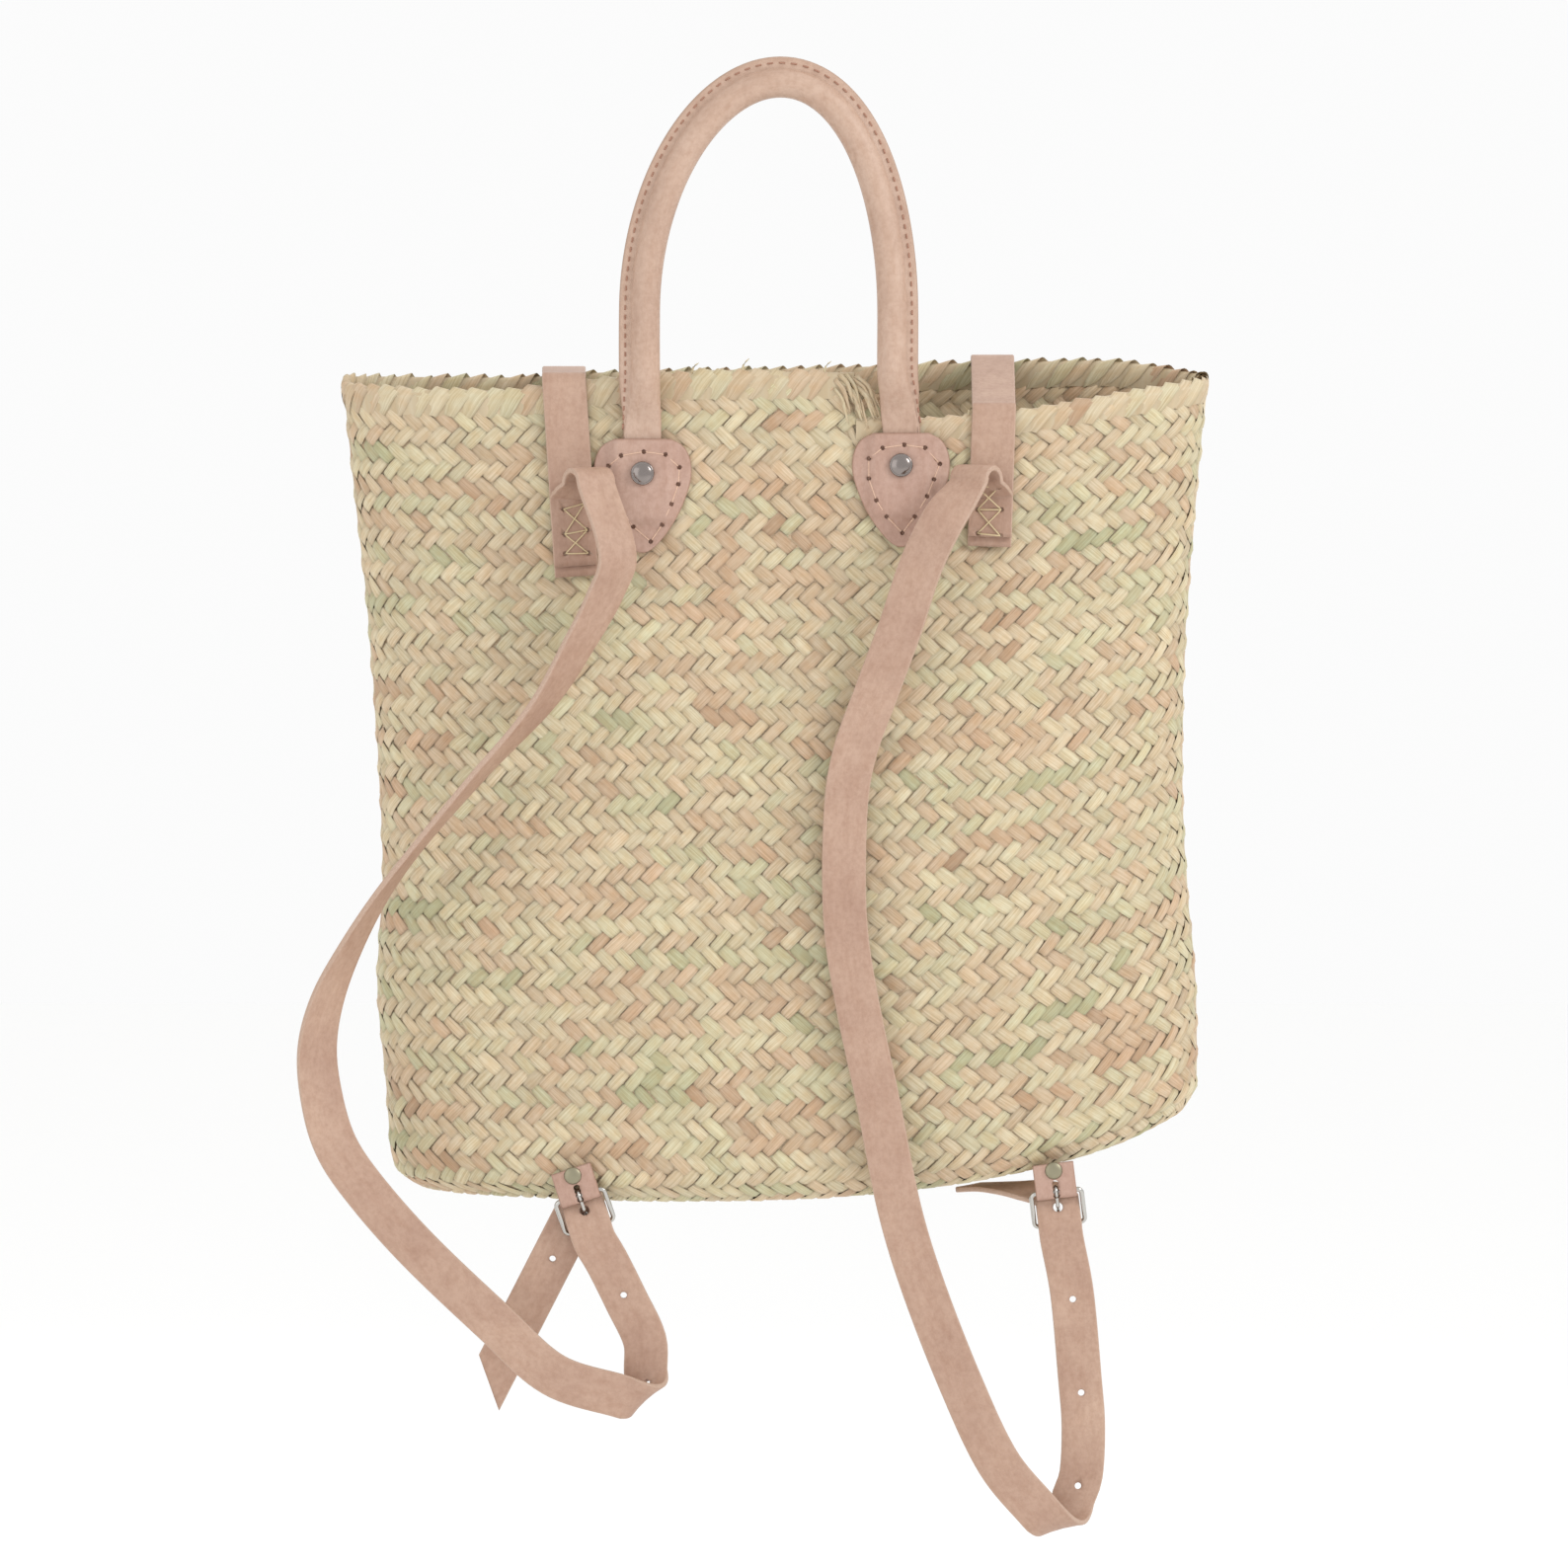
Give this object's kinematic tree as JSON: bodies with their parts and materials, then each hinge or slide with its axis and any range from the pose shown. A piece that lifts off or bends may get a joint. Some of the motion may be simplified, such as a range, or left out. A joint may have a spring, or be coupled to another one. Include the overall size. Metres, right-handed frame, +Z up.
{
  "type": "woven backpack",
  "caption": "Soft woven straw bag carried on the back, with a rolled leather top handle and two buckled leather shoulder straps sewn to straps over its rim.",
  "frame": {"origin": "inside top of the handle's arch, where the bag hangs on a hook", "axes": "+Z up; +Y from the near wall, which carries the straps, through the bag to the far wall; +X to the right as the near wall is seen"},
  "size_m": [0.4173, 0.1466, 0.6742],
  "materials": {
    "straw": "matt woven palm straw",
    "strap_leather": "natural vegetable-tanned",
    "handle_leather": "smooth, slightly waxed",
    "tab_leather": "natural vegetable-tanned",
    "nickel": "polished nickel plate",
    "dull_metal": "dull grey-green"
  },
  "bodies": {
    "root": {"basket_body": "straw", "handle": "handle_leather", "handle_tab_left": "tab_leather", "handle_rivet_left": "nickel", "over_strap_left": "strap_leather", "shoulder_strap_left": "strap_leather", "buckle_tab_left": "tab_leather", "tab_rivet_left": "dull_metal", "buckle_frame_left": "nickel", "buckle_prong_left": "nickel", "handle_tab_right": "tab_leather", "handle_rivet_right": "nickel", "over_strap_right": "strap_leather", "shoulder_strap_right": "strap_leather", "buckle_tab_right": "tab_leather", "tab_rivet_right": "dull_metal", "buckle_frame_right": "nickel", "buckle_prong_right": "nickel"}
  },
  "joints": []
}
